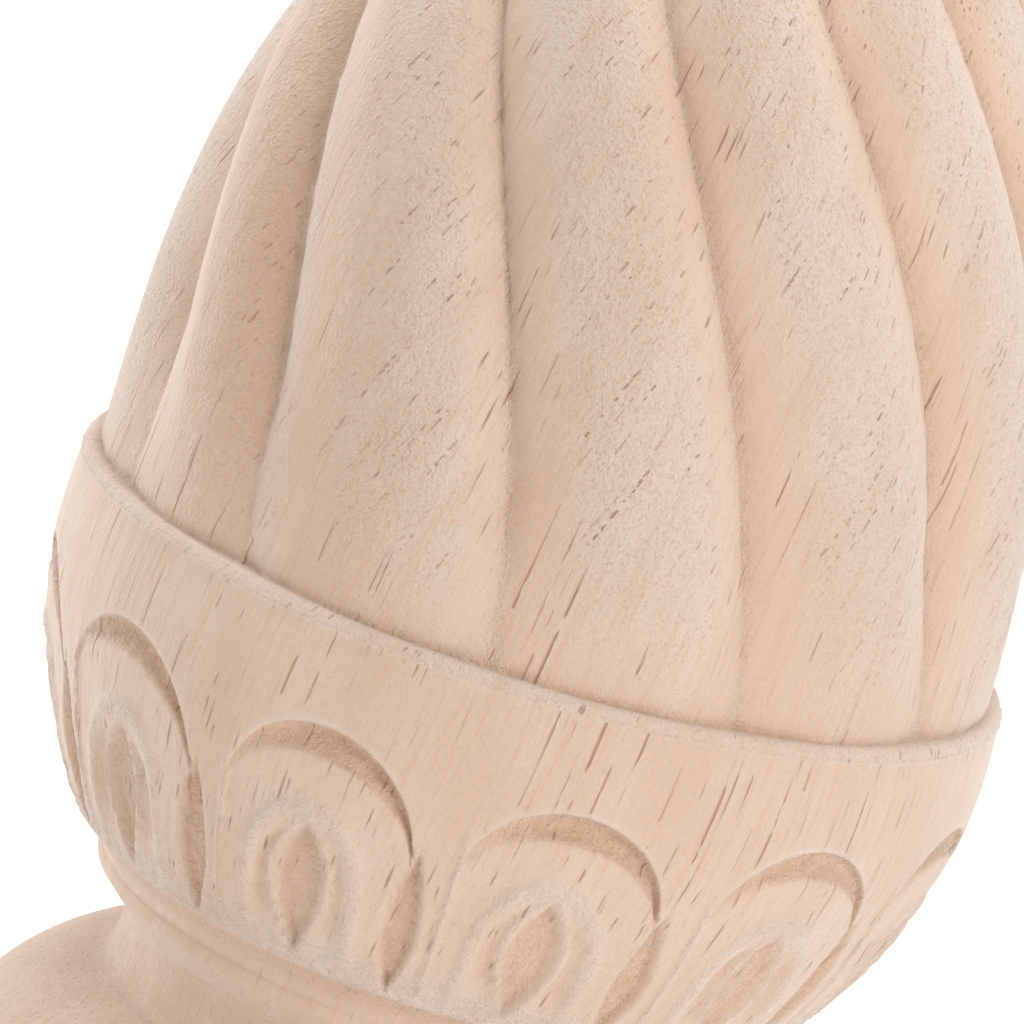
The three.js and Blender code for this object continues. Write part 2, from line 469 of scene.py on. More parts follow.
@dataclass
class Cup:
    """The cup, turned as part of a ball, with its petals, plain band and rim.

    A top, an end, a foot or an edge is a depth below the rim, and a share is of half a petal's
    width. A span is where a smooth step starts and where it is full.
    """

    ledge_height: float
    ball: float = 40.0
    carved_height: float = 23.0
    band_height: float = 6.5
    taper: float = 0.5
    taper_depth: Span = (10.0, 19.0)
    arch_top: float = 8.3
    arch_right: float = 9.1
    arch_left: float = 8.3
    arch_span: float = 0.985
    gouge_width: float = 2.7
    gouge_depth: float = 1.05
    gouge_horns: float = 0.3
    gouge_left: float = 0.25
    gouge_skew: float = 0.62
    gouge_wall: float = 0.35
    # A painted highlight along the arch's outer edge
    arris_highlight_width: float = 0.22
    arris_highlight_set_out: float = 0.2
    arris_highlight_span: float = 6.0
    inner_top: float = 14.9
    inner_middle: float = 22.5
    inner_share: float = 0.52
    ridge_height: float = 0.3
    ridge_place: float = 0.2
    ridge_width: float = 0.8
    almond: Leaf = Leaf(top=16.2, bottom=29.0, share=0.23, belly=0.8, depth=0.75, wall=0.42)
    bank_height: float = 0.22
    bank_reach: float = 0.9
    bank_margin: float = 0.8
    bank_place: float = 0.22
    bank_width: float = 0.12
    sliver_depth: float = 0.36
    sliver_top: Span = (16.5, 19.0)
    sliver_end: Span = (26.7, 24.2)
    sliver_by_ridge: Span = (0.8, 1.7)
    sliver_by_bank: Span = (0.2, 0.0)
    dart: Leaf = Leaf(top=14.0, bottom=29.4, share=0.165, belly=1.25, depth=0.8, wall=0.4)
    dart_shift: float = -0.9
    vein_height: float = 0.28
    vein_place: float = 2.3
    vein_width: float = 0.3
    vein_top: Span = (11.5, 15.0)
    pillow_height: float = 0.1
    pillow_share: float = 0.62
    pillow_width: float = 2.2
    pillow_top: Span = (16.0, 21.0)
    face_top: Span = (12.0, 16.0)
    petal_foot: Span = (28.8, 27.6)
    pale_foot: Span = (24.9, 27.3)
    ledge_bead: float = 0.25
    bead_top: float = 1.3
    bead_full: float = 0.2
    bead_foot: float = 0.15
    lip_width: float = 0.8
    lip_edge: float = 0.75
    lip_bead: float = 0.2
    lip_rise: float = 0.4
    lip_round: float = 1.15
    lip_start: float = 8.0
    lip_end: float = 64.0
    lip_tear: float = 0.5
    lip_rows: int = 7
    tones: PetalTones = PetalTones()
    columns: int = 54
    gather: float = 0.3
    carved_rows: int = 63
    row_crowding: float = 1.35
    band_rows: tuple[float, ...] = (0.03, 0.1, 0.22, 0.4, 0.6, 0.8, 0.92, 0.965, 0.985, 1.0)
    seed: int = 5

    def __post_init__(self) -> None:
        """Draw each petal's own small differences, as a hand that carves twelve of them leaves."""
        draw = np.random.default_rng(self.seed)
        self.top_shift = draw.uniform(-0.25, 0.25, CARVINGS)
        self.lean = draw.uniform(-0.25, 0.25, CARVINGS)
        self.deepening = draw.uniform(0.85, 1.15, CARVINGS)
        self.almond_growth = draw.uniform(0.9, 1.15, CARVINGS)

    @property
    def centre_height(self) -> float:
        """Height of the ball's centre."""
        return self.ledge_height + self.carved_height

    @property
    def rim_height(self) -> float:
        """Height of the rim."""
        return self.centre_height + self.band_height

    @property
    def lip_radius(self) -> float:
        """Radius of the rim's outer edge."""
        return math.sqrt(self.ball**2 - self.band_height**2)

    @property
    def half_petal(self) -> float:
        """Half the width of a petal where the ball is widest."""
        return math.pi * self.ball / CARVINGS

    def edge_depth(self, across: np.ndarray, petal: np.ndarray) -> np.ndarray:
        """How far below the rim the arch's outer edge runs: two quarter circles, the left one smaller.

        Args:
            across: Distance from the petal's middle.
            petal: Which petal each point is on.

        Returns:
            Depth below the rim.
        """
        own = smooth_step(np.abs(across), self.half_petal, 0.7 * self.half_petal)
        leaned = across - self.lean[petal] * own
        radius = np.where(leaned > 0.0, self.arch_right, self.arch_left)
        reach = np.minimum(np.abs(leaned), radius * self.arch_span)
        return self.arch_top + self.top_shift[petal] * own + radius - ball_radius(radius, reach)

    def gouge(self, across: np.ndarray, depth: np.ndarray, petal: np.ndarray) -> np.ndarray:
        """Depth of the crescent cut under the arch's edge: sin(pi * s^skew) across its width.

        It narrows to its two horns, where it also runs out, and is shallower on its left.

        Args:
            across: Distance from the petal's middle.
            depth: Depth below the rim.
            petal: Which petal each point is on.

        Returns:
            How deep the cut is.
        """
        radius = np.where(across > 0.0, self.arch_right, self.arch_left)
        fade = np.sqrt(np.clip(1.0 - (across / radius) ** 2, 0.0, 1.0))
        width = self.gouge_width * mix(self.gouge_horns, 1.0, fade)
        share = np.clip((depth - self.edge_depth(across, petal)) / width, 0.0, 1.0)
        right = smooth_step(across, -0.9 * radius, -0.1 * radius)
        deep = self.gouge_depth * self.deepening[petal] * fade**0.6 * mix(self.gouge_left, 1.0, right)
        return deep * np.sin(np.pi * share**self.gouge_skew)

    def inner_arch(self, across: np.ndarray, depth: np.ndarray) -> np.ndarray:
        """Distance inside the fine inner arch: an ellipse above, two upright sides below.

        Args:
            across: Distance from the petal's middle.
            depth: Depth below the rim.

        Returns:
            Distance in from the line, below 0 outside it.
        """
        half_width = self.inner_share * self.half_petal
        half_height = self.inner_middle - self.inner_top
        above = np.minimum(depth - self.inner_middle, 0.0) / half_height
        out = np.sqrt((across / half_width) ** 2 + above**2)
        return (1.0 - out) * half_width

    def relief(self, across: np.ndarray, depth: np.ndarray, petal: np.ndarray) -> tuple[np.ndarray, ...]:
        """Carving of the petals: the deepest of their cuts, less their raised lines.

        Args:
            across: Distance from the petal's middle.
            depth: Depth below the rim.
            petal: Which petal each point is on.

        Returns:
            How far the surface lies under the turned ball, how much shade is painted tan into its cuts, and
            how pale it is: painted highlights on its raised lines and a paler face and foot, both from 0 to
            1.
        """
        half = self.half_petal
        tones = self.tones
        on_petal = smooth_step(depth, *self.petal_foot)
        gouge = self.gouge(across, depth, petal)

        # Almond in the petal's middle and the low bank round it
        almond_width = self.almond.share * half * self.almond_growth[petal]
        almond_floor = smooth_step(self.almond.inside(across, depth, almond_width), 0.0, self.almond.wall)
        around_almond = self.almond.inside(across, depth, almond_width + self.bank_reach, self.bank_margin)
        bank = bump(around_almond, self.bank_place, self.bank_width) * (around_almond > 0.0) * on_petal

        # Inner arch: a ridge, and a sliver cut away between it and the bank
        inside = self.inner_arch(across, depth)
        ridge = bump(inside, self.ridge_place, self.ridge_width) * on_petal
        sliver = smooth_step(inside, *self.sliver_by_ridge) * smooth_step(around_almond, *self.sliver_by_bank)
        sliver = sliver * smooth_step(depth, *self.sliver_top) * smooth_step(depth, *self.sliver_end)
        sliver_cut = self.sliver_depth * sliver

        # Dart between two petals and the thin vein beside it
        beside = np.where(across > 0.0, across - half, across + half)
        dart = self.dart.inside(beside - self.dart_shift, depth, self.dart.share * half)
        dart_floor = smooth_step(dart, 0.0, self.dart.wall)
        vein = self.vein_height * bump(beside, self.vein_place, self.vein_width)
        vein = vein * smooth_step(depth, *self.vein_top) * on_petal

        # Pillows: the petal's two sides stand a little proud
        pillow = self.pillow_height * bump(np.abs(across), self.pillow_share * half, self.pillow_width)
        pillow = pillow * smooth_step(depth, *self.pillow_top) * on_petal

        cut = np.maximum.reduce([gouge, self.almond.depth * almond_floor, self.dart.depth * dart_floor])
        cut = cut + sliver_cut - vein - pillow - self.ridge_height * ridge - self.bank_height * bank

        # Painted shade: the floors of the gouge, almond, dart and sliver are tinted tan as shade in the cuts
        tan_and_shade = np.maximum.reduce([tones.gouge * smooth_step(gouge, 0.0, self.gouge_wall),
                                    tones.almond * almond_floor,
                                    tones.dart * dart_floor,
                                    tones.sliver * sliver_cut])
        # Pale: painted highlights on the ridge, bank and vein, and a paler face and foot
        face = tones.face * on_petal * smooth_step(depth, *self.face_top)
        foot = smooth_step(depth, *self.pale_foot)
        pale = np.maximum.reduce([ridge, tones.bank * bank, foot, tones.vein * vein, face])
        return cut, tan_and_shade, pale * (1.0 - tan_and_shade)

    def skin(self) -> Skin:
        """The carved cup from the ledge up to the top of the band.

        Its rows bend to follow the arches: the depth is edge + (ledge - edge) * s below an arch's
        edge and edge - (edge - lip) * s above it.

        Returns:
            The rings from the ledge to the lip.
        """
        share = around(self.columns, self.gather)
        petal = np.floor(share * CARVINGS + 1e-9).astype(int)
        across = ((share * CARVINGS - petal) * 2.0 - 1.0) * self.half_petal
        edge = self.edge_depth(across, petal)[None, :]
        ledge = self.carved_height + self.band_height
        below = np.linspace(1.0, 0.0, self.carved_rows)[:, None] ** self.row_crowding
        above = np.array(self.band_rows)[:, None]
        depth = np.concatenate([mix(edge, ledge, below), mix(edge, self.lip_edge, above)])
        cut, tan_and_shade, crest = self.relief(across[None, :], depth, petal[None, :])

        height = self.rim_height - depth
        radius = ball_radius(self.ball, height - self.centre_height) - cut
        radius = radius - self.taper * smooth_step(depth, *self.taper_depth)
        bead = smooth_step(depth, ledge - self.bead_top, ledge - self.bead_full)
        bead = bead * smooth_step(depth, ledge, ledge - self.bead_foot)
        lip = smooth_step(depth, self.lip_edge + self.lip_rise, self.lip_edge)
        radius = radius + self.ledge_bead * bead + self.lip_bead * lip

        # A pale band along the arch's outer edge is a painted highlight where light catches the arris; the
        # lip is painted pale as a highlight too
        arris_highlight = bump(depth - edge, -self.arris_highlight_set_out, self.arris_highlight_width)
        arris_highlight = arris_highlight * smooth_step(np.abs(across), self.arch_left, self.arris_highlight_span) * (1.0 - tan_and_shade)
        ragged = np.maximum.reduce([1.4 * tan_and_shade, 0.8 * crest, self.lip_tear * lip])
        crest = np.maximum.reduce([0.9 * crest, self.tones.lip * lip, self.tones.arris_highlight * arris_highlight])
        return Skin.of(radius, FULL_TURN * share[None, :], height, tan_and_shade, np.clip(ragged, 0.0, 1.0), crest)

    def lip(self) -> Skin:
        """The rounded rim: part of a circle from the band's top over to the foot of the bulb.

        Returns:
            The rings of the rim.
        """
        angle = FULL_TURN * around(self.columns, self.gather)[None, :]
        turn = np.radians(np.linspace(self.lip_start, self.lip_end, self.lip_rows))[:, None]
        out = self.lip_radius + self.lip_bead + self.lip_round * (np.cos(turn) - np.cos(turn[0]))
        up = self.rim_height - self.lip_edge + self.lip_round * (np.sin(turn) - np.sin(turn[0]))
        # The lip is painted pale as a highlight where light from above falls on it
        return Skin.of(out[1:], angle, up[1:], ragged=self.lip_tear, crest=self.tones.lip)


@dataclass
class Bulb:
    """The bulb: twelve lobes that twist as they rise and run together at the tip.

    A span is where a smooth step starts and where it is full, across a lobe from 0 in one crease to
    1 in the next, or in height above the rim.
    """

    rim_height: float
    radius: float
    height: float = 82.0
    swell: float = 2.68
    nose: float = 0.95
    crease_depth: float = 2.8
    crease_depth_at_rim: float = 0.45
    crease_run_out: float = 14.0
    wall_share: float = 0.1
    wall_part: float = 0.2
    facet_share: float = 0.44
    crest_share: float = 0.6
    wall_fall: float = 1.5
    facet_fall: float = 1.12
    crest_fall: float = 1.9
    twist_at_rim: float = 0.003
    twist_gain: float = 0.00019
    columns: int = 27
    nose_columns: int = 9
    rows: int = 92
    nose_rows: int = 16
    nose_start: float = 64.0
    wander: float = 0.006
    wander_length: float = 9.0
    wander_start: float = 15.0
    gather: float = 0.5
    crease_tear: float = 0.7
    groove_reach: float = 0.8
    # Painted shade, as tan: in the torn groove by the rim and on the facets that face away from the light
    groove_shade: float = 0.65
    facet_shade: float = 0.32
    facet_place: Span = (0.32, 0.04)
    crest_start: Span = (0.12, 0.45)
    crest_end: Span = (1.0, 0.75)
    stray_crease: int = 8
    stray_degrees: float = -6.9
    stray_height: float = 68.0
    stray_foot: float = 0.6
    stray_settle: float = 6.0
    # Painted shade, as tan, in the valley before the stray crease, greyed a little
    valley_shade: float = 2.3
    valley_shade_grey: float = 0.6
    valley_place: Span = (0.1, 0.9)
    valley_height: Span = (64.0, 34.0)
    valley_crest: float = 0.4
    valley_crest_end: Span = (0.7, 0.2)
    # Painted shade, as tan, on the bank beside the lit wall
    bank_shade: float = 1.5
    bank_start: Span = (0.12, 0.26)
    bank_end: Span = (0.75, 0.35)
    # Painted highlight: the wall after the stray crease, lit from the left, is made pale
    lit_wall: float = 0.5
    lit_start: Span = (0.0, 0.02)
    lit_end: Span = (0.2, 0.13)
    seed: int = 11

    def twist(self, up: np.ndarray) -> np.ndarray:
        """Angle that the swirl has turned: -(a * up + b * up^2)."""
        return -(self.twist_at_rim * up + self.twist_gain * up * up)

    def outline(self, up: np.ndarray) -> np.ndarray:
        """Radius over the crests: radius * (1 - (up / height)^swell)^nose."""
        return self.radius * (1.0 - np.clip(up / self.height, 0.0, 1.0) ** self.swell) ** self.nose

    def fall(self, place: np.ndarray) -> np.ndarray:
        """How far a lobe falls back: a low wall and a facet from one crease, a roll into the next.

        Args:
            place: Place across the lobe, 0 in one crease and 1 in the next.

        Returns:
            0 on the crest and 1 in the creases.
        """
        wall = np.maximum(0.0, 1.0 - place / self.wall_share) ** self.wall_fall
        facet = np.maximum(0.0, 1.0 - place / self.facet_share) ** self.facet_fall
        roll = np.maximum(0.0, (place - self.crest_share) / (1.0 - self.crest_share)) ** self.crest_fall
        return mix(facet, wall, self.wall_part) + roll

    def stray(self, crease: np.ndarray, rise: np.ndarray) -> np.ndarray:
        """Angle by which one crease was cut beside its place.

        It is degrees * (1 - rise / height) * (1 - foot * e^(-rise / settle)): less at the rim than a
        little above it, and none where the crease joins its line higher up.

        Args:
            crease: Number of each crease.
            rise: Height above the rim.

        Returns:
            The extra angle.
        """
        joined = np.clip(1.0 - rise / self.stray_height, 0.0, 1.0)
        settled = 1.0 - self.stray_foot * np.exp(-rise / self.stray_settle)
        turned = np.where(crease == self.stray_crease, math.radians(self.stray_degrees), 0.0)
        return turned * joined * settled

    def tones(self, place: np.ndarray, lobe: np.ndarray, rise: np.ndarray,
              beside: np.ndarray) -> tuple[np.ndarray, np.ndarray, np.ndarray]:
        """How the wood shows across the lobes: painted shade as tan on the facets and in the groove by the
        rim, pale crests and torn creases.

        The lobe before the stray crease has a torn valley with painted shade in it, and the one after it a
        wall painted pale as a highlight, with painted shade on the bank beside it.

        Args:
            place: Place across the lobe, 0 in one crease and 1 in the next.
            lobe: Number of each lobe, which is also that of its first crease.
            rise: Height above the rim.
            beside: Distance from the nearest crease.

        Returns:
            How much shade is painted tan, how ragged the surface is, and how much crest and painted highlight
            it has.
        """
        after_stray = lobe == self.stray_crease
        before_stray = (lobe + 1) % CARVINGS == self.stray_crease
        near_rim = np.exp(-np.maximum(rise, 0.0) / self.groove_reach)
        deep = smooth_step(rise, 0.0, self.crease_run_out)
        # Painted shade: the valley before the stray crease, shaded by the next lobe, is made tan and torn
        shaded_valley = smooth_step(place, *self.valley_place) * mix(0.6, 1.0, deep)
        shaded_valley = np.where(before_stray, shaded_valley * smooth_step(rise, *self.valley_height), 0.0)

        # Painted shade: tan on the facets that face away from the light, on the bank beside the lit wall and
        # in the groove by the rim
        facet = smooth_step(place, *self.facet_place) * mix(0.3, 1.0, deep)
        bank = smooth_step(place, *self.bank_start) * smooth_step(place, *self.bank_end)
        facet = np.where(after_stray, self.bank_shade * bank, facet)
        facet = np.maximum(facet, self.valley_shade * shaded_valley)
        tan_and_shade = np.maximum(self.facet_shade * facet, self.groove_shade * near_rim)

        crest = smooth_step(place, *self.crest_start) * smooth_step(place, *self.crest_end)
        crest = crest * mix(0.3, 0.9, deep)
        faded = self.valley_crest * crest * smooth_step(place, *self.valley_crest_end)
        crest = np.where(before_stray, faded, crest)
        # Painted highlight: the wall after the stray crease, lit from the left, is made pale
        lit_wall = self.lit_wall * smooth_step(place, *self.lit_start) * smooth_step(place, *self.lit_end)
        crest = np.maximum(crest, np.where(after_stray, lit_wall, self.valley_shade_grey * shaded_valley))

        torn = np.clip(np.exp(-beside / self.crease_tear) + near_rim, 0.0, 1.0)
        return tan_and_shade, np.maximum(torn, shaded_valley), crest

    def rings(self, up: np.ndarray, columns: int, inset: np.ndarray | float = 0.0) -> Skin:
        """Lobed rings at the given heights above the rim.

        Each crease wanders a little: its angle gains wander * sin(up / length + its own phase).

        Args:
            up: Heights above the rim, one for each ring.
            columns: Columns in one lobe.
            inset: How far each ring is set in.

        Returns:
            The rings as a skin.
        """
        place = np.tile(column_places(columns, self.gather), CARVINGS)[None, :]
        lobe = np.repeat(np.arange(CARVINGS), columns)[None, :]
        rise = up[:, None]
        phase = np.random.default_rng(self.seed).uniform(0.0, FULL_TURN, CARVINGS)
        waver = self.wander * np.minimum(rise / self.wander_start, 1.0)
        left, right = (
            waver * np.sin(rise / self.wander_length + phase[crease]) + self.stray(crease, rise)
            for crease in (lobe, (lobe + 1) % CARVINGS)
        )
        angle = FULL_TURN * (lobe + place) / CARVINGS + self.twist(rise) + mix(left, right, place)

        outer = self.outline(rise)
        run_out = np.clip(rise / self.crease_run_out, 0.0, 1.0)
        depth = mix(self.crease_depth_at_rim, self.crease_depth, run_out)
        radius = outer - depth * outer / self.radius * self.fall(place) - inset
        beside = np.minimum(place, 1.0 - place) * FULL_TURN * outer / CARVINGS
        return Skin.of(radius, angle, self.rim_height + rise, *self.tones(place, lobe, rise, beside))

    def skin(self) -> Skin:
        """The lower bulb, from the groove beside the rim to where the nose starts.

        Returns:
            The rings, the lowest three set in for the groove.
        """
        up = np.concatenate([[0.14, 0.36, 0.62], np.linspace(1.0, self.nose_start, self.rows)])
        inset = np.concatenate([[0.12, 0.14, 0.07], np.zeros(self.rows)])[:, None]
        return self.rings(up, self.columns, inset)

    def tip(self) -> Skin:
        """The nose: rings that crowd towards the tip as the sine of an even sweep.

        Returns:
            The rings up to the last one below the tip.
        """
        sweep = np.linspace(0.0, 1.0, self.nose_rows + 2)[1:-1]
        up = mix(self.nose_start, self.height, np.sin(np.pi / 2.0 * sweep))
        return self.rings(up, self.nose_columns)


@dataclass
class Body:
    """The whole cap as one closed mesh made of skins stacked from the bottom up."""

    skins: list[Skin]
    top: float
    bottom: float = 0.0
    grain: Grain = field(default_factory=Grain)
    faces: list[list[int]] = field(default_factory=list)

    def close(self, first: int, count: int, pole: int, upwards: bool) -> None:
        """Fan from a ring to a pole.

        Args:
            first: Index of the ring's first point.
            count: How many points the ring has.
            pole: Index of the pole.
            upwards: True where the pole is above the ring.
        """
        here = first + np.arange(count)
        after = first + (np.arange(count) + 1) % count
        low, high = (here, after) if upwards else (after, here)
        self.faces += np.stack([low, high, np.full(count, pole)], axis=1).tolist()

    def fill(self, first: int, rows: int, count: int) -> None:
        """Four-sided faces between the rings of one skin.

        Args:
            first: Index of the skin's first point.
            rows: How many rings the skin has.
            count: How many points each ring has.
        """
        row = first + count * np.arange(rows - 1)[:, None]
        here = row + np.arange(count)
        after = row + (np.arange(count) + 1) % count
        sides = np.stack([here, after, after + count, here + count], axis=-1)
        self.faces += sides.reshape(-1, 4).tolist()

    def seam(self, low: int, low_count: int, high: int, high_count: int) -> None:
        """Faces between two rings where one has a whole number of times the other's columns.

        Args:
            low: Index of the lower ring's first point.
            low_count: Points in the lower ring.
            high: Index of the upper ring's first point.
            high_count: Points in the upper ring.
        """
        joint = Joint.FINER if high_count >= low_count else Joint.COARSER
        times = max(low_count, high_count) // min(low_count, high_count)
        coarse = np.arange(min(low_count, high_count))
        fine = coarse[:, None] * times + np.arange(times + 1)
        if joint is Joint.FINER:
            below = low + np.stack([coarse, (coarse + 1) % low_count], axis=1)
            above = high + (fine % high_count)[:, ::-1]
        else:
            below = low + fine % low_count
            above = high + np.stack([(coarse + 1) % high_count, coarse], axis=1)
        self.faces += np.concatenate([below, above], axis=1).tolist()

    def mesh(self, name: str) -> bpy.types.Mesh:
        """Join the skins into one mesh in metres, with attributes for painted shade, torn wood, crests with
        painted highlights, and the grain.

        Args:
            name: Name of the mesh.

        Returns:
            The mesh, smooth shaded.
        """
        pole = np.zeros(1)
        points = [np.array([[0.0, 0.0, self.bottom]])]
        carving = {"tan_and_shade": [pole], "ragged": [pole], "crest": [pole]}
        starts = []
        total = 1
        for skin in self.skins:
            rows, count = skin.radius.shape
            starts.append((total, rows, count))
            points.append(skin.points().reshape(-1, 3))
            for label, parts in carving.items():
                parts.append(getattr(skin, label).ravel())
            total += rows * count
        points.append(np.array([[0.0, 0.0, self.top]]))
        for parts in carving.values():
            parts.append(pole)
        self.close(starts[0][0], starts[0][2], 0, upwards=False)
        for index, (first, rows, count) in enumerate(starts):
            self.fill(first, rows, count)
            if index + 1 < len(starts):
                self.seam(first + (rows - 1) * count, count, starts[index + 1][0], starts[index + 1][2])
        first, rows, count = starts[-1]
        self.close(first + (rows - 1) * count, count, total, upwards=True)

        places = np.concatenate(points)
        mesh = bpy.data.meshes.new(name)
        mesh.from_pydata((places * MM).tolist(), [], self.faces)
        mesh.shade_smooth()
        for label, parts in carving.items():
            layer = mesh.attributes.new(label, "FLOAT", "POINT")
            layer.data.foreach_set("value", np.concatenate(parts).astype(np.float32))
        grain = {"straight": self.grain.straight(places), "swirled": self.grain.swirled(places)}
        for label, vectors in grain.items():
            layer = mesh.attributes.new(label, "FLOAT_VECTOR", "POINT")
            layer.data.foreach_set("vector", vectors.astype(np.float32).ravel())
        mesh.validate()
        return mesh


@dataclass
class PostCap:
    """The carved cap: its stem, cup and bulb joined into one piece."""

    stem: Stem = field(default_factory=Stem)
    groove_gap: float = 0.1
    tear_depth: float = 0.2
    cut_lumps: float = 0.7
    bulb_lumps: float = 1.0
    crest_nap: float = 0.8
    cut_seed: int = 21
    bulb_seed: int = 22

    def build(self) -> bpy.types.Object:
        """Make the cap's one closed surface and hang it on the frame.

        Returns:
            The finished piece.
        """
        cup = Cup(ledge_height=self.stem.ledge_height)
        bulb = Bulb(rim_height=cup.rim_height, radius=cup.lip_radius - cup.lip_width - self.groove_gap)
        carved = cup.skin()
        carved.roughen(self.tear_depth, self.cut_lumps, self.cut_seed)
        rim = cup.lip()
        rim.roughen(self.tear_depth, self.cut_lumps, self.cut_seed)
        lobes = bulb.skin()
        lobes.roughen(self.tear_depth, self.bulb_lumps, self.bulb_seed)
        lobes.ragged = np.maximum(lobes.ragged, self.crest_nap * lobes.crest)
        body = Body([self.stem.skin(), carved, rim, lobes, bulb.tip()], top=cup.rim_height + bulb.height)
        piece = bpy.data.objects.new("carved_cap", body.mesh("carved_cap"))
        bpy.context.scene.collection.objects.link(piece)
        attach(piece, BODY)
        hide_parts(NODE)
        triangles = sum(len(face) - 2 for face in body.faces)
        log.info("%s: %d points, %d triangles", piece.name, len(piece.data.vertices), triangles)
        return piece


class Graph:
    """A short way to add nodes to a node tree and join them."""

    def __init__(self, tree: bpy.types.NodeTree) -> None:
        """Work on the given tree."""
        self.tree = tree

    def add(self, kind: str, values: dict | None = None, **settings: object) -> bpy.types.Node:
        """Add a node.

        Args:
            kind: Blender's name of the node type.
            values: Socket name or number to a plain value or to the socket that feeds it.
            settings: Properties of the node itself.

        Returns:
            The new node.
        """
        node = self.tree.nodes.new(kind)
        for name, value in settings.items():
            setattr(node, name, value)
        for name, value in (values or {}).items():
            if isinstance(value, bpy.types.NodeSocket):
                self.tree.links.new(value, node.inputs[name])
            else:
                node.inputs[name].default_value = value
        return node

    def attribute(self, name: str) -> bpy.types.Node:
        """Node that reads one of the mesh's attributes."""
        return self.add("ShaderNodeAttribute", attribute_name=name)

    def math(self, operation: str, *values: object, clamp: bool = False) -> bpy.types.NodeSocket:
        """Result of a Math node with these inputs, each a number or a socket."""
        inputs = dict(enumerate(values))
        return self.add("ShaderNodeMath", inputs, operation=operation, use_clamp=clamp).outputs[0]

    def ramp(self, value: bpy.types.NodeSocket, low: float, high: float,
             start: float = 0.0, end: float = 1.0) -> bpy.types.NodeSocket:
        """Smoothly map low to start and high to end.

        Args:
            value: The socket to be mapped.
            low: Input value that gives start.
            high: Input value that gives end.
            start: First output value.
            end: Last output value.

        Returns:
            The mapped value's socket.
        """
        inputs = {"Value": value, "From Min": low, "From Max": high, "To Min": start, "To Max": end}
        return self.add("ShaderNodeMapRange", inputs, interpolation_type="SMOOTHSTEP").outputs["Result"]

    def blend(self, share: object, low: object, high: object) -> bpy.types.NodeSocket:
        """Colour between low and high.

        Args:
            share: A number or socket from 0 to 1.
            low: Colour or socket at 0.
            high: Colour or socket at 1.

        Returns:
            The colour's socket.
        """
        node = self.add("ShaderNodeMix", {0: share, 6: low, 7: high}, data_type="RGBA")
        return node.outputs[2]

    def stretched(self, vector: bpy.types.NodeSocket, along: float) -> bpy.types.NodeSocket:
        """The same coordinates with Z, which runs along the grain, scaled by a factor."""
        node = self.add("ShaderNodeVectorMath", {0: vector, 1: (1.0, 1.0, along)}, operation="MULTIPLY")
        return node.outputs["Vector"]

    def noise(self, vector: bpy.types.NodeSocket, scale: float, detail: float = 2.0,
              roughness: float = 0.5) -> bpy.types.NodeSocket:
        """Noise value from 0 to 1 on the given coordinates."""
        inputs = {"Vector": vector, "Scale": scale, "Detail": detail, "Roughness": roughness}
        return self.add("ShaderNodeTexNoise", inputs).outputs["Fac"]


def new_group(name: str, inputs: dict[str, tuple],
              outputs: dict[str, str]) -> tuple[bpy.types.NodeTree, Graph]:
    """Start a shader node group.

    Args:
        name: The group's name.
        inputs: Name to socket type and starting value.
        outputs: Name to socket type.

    Returns:
        The group and a graph to build it with.
    """
    tree = bpy.data.node_groups.new(name, "ShaderNodeTree")
    for label, (kind, value) in inputs.items():
        socket = tree.interface.new_socket(label, in_out="INPUT", socket_type=kind)
        if value is not None:
            socket.default_value = value
    for label, kind in outputs.items():
        tree.interface.new_socket(label, in_out="OUTPUT", socket_type=kind)
    return tree, Graph(tree)


@dataclass(frozen=True)
class Vessels:
    """One kind of vessel mark: sizes in millimetres, and how often and how darkly it shows."""

    spacing: float
    radius: float
    edge: float
    length: float
    closed: float
    tone: Ramp


def vessel_group() -> bpy.types.NodeTree:
    """Vessels: fine tubes that run along the grain, seen as dashes where the surface cuts them.

    Across the grain each cell of a random lattice holds one vessel. The surface is inside it where
    the distance to its centre is below its radius, and a noise along the grain closes it at places.

    Returns:
        A group that puts out a mask, 1 in a vessel and 0 outside, and a random tone for each vessel.
    """
    number = ("NodeSocketFloat", 0.5)
    tree, graph = new_group(
        "wood_vessels",
        {"Vector": ("NodeSocketVector", None), "Spacing": number, "Radius": number, "Edge": number,
         "Length": number, "Closed": number},
        {"Mask": "NodeSocketFloat", "Tone": "NodeSocketFloat"},
    )
    source = graph.add("NodeGroupInput").outputs
    per_mm = graph.math("DIVIDE", 1.0, source["Spacing"])
    cells = graph.add("ShaderNodeTexVoronoi", {"Vector": source["Vector"], "Scale": per_mm},
                      voronoi_dimensions="2D").outputs
    distance = graph.math("MULTIPLY", cells["Distance"], source["Spacing"])
    chance = graph.add("ShaderNodeSeparateColor", {"Color": cells["Color"]}).outputs

    across_grain = 1.6
    along_grain = graph.math("DIVIDE", 1.0, source["Length"])
    stretch = graph.add("ShaderNodeCombineXYZ", {"X": across_grain, "Y": across_grain, "Z": along_grain})
    place = graph.add("ShaderNodeVectorMath", {0: source["Vector"], 1: stretch.outputs["Vector"]},
                      operation="MULTIPLY").outputs["Vector"]
    open_share = graph.math("SUBTRACT", graph.noise(place, 1.0, 1.0, 0.6), source["Closed"])
    narrowed = graph.ramp(open_share, 0.0, 0.08)
    size = graph.math("MULTIPLY", source["Radius"], graph.ramp(chance["Green"], 0.0, 1.0, 0.6, 1.1))
    reach = graph.math("MULTIPLY", size, narrowed)
    mask = graph.math("DIVIDE", graph.math("SUBTRACT", reach, distance), source["Edge"], clamp=True)
    graph.add("NodeGroupOutput", {"Mask": mask, "Tone": chance["Blue"]})
    return tree


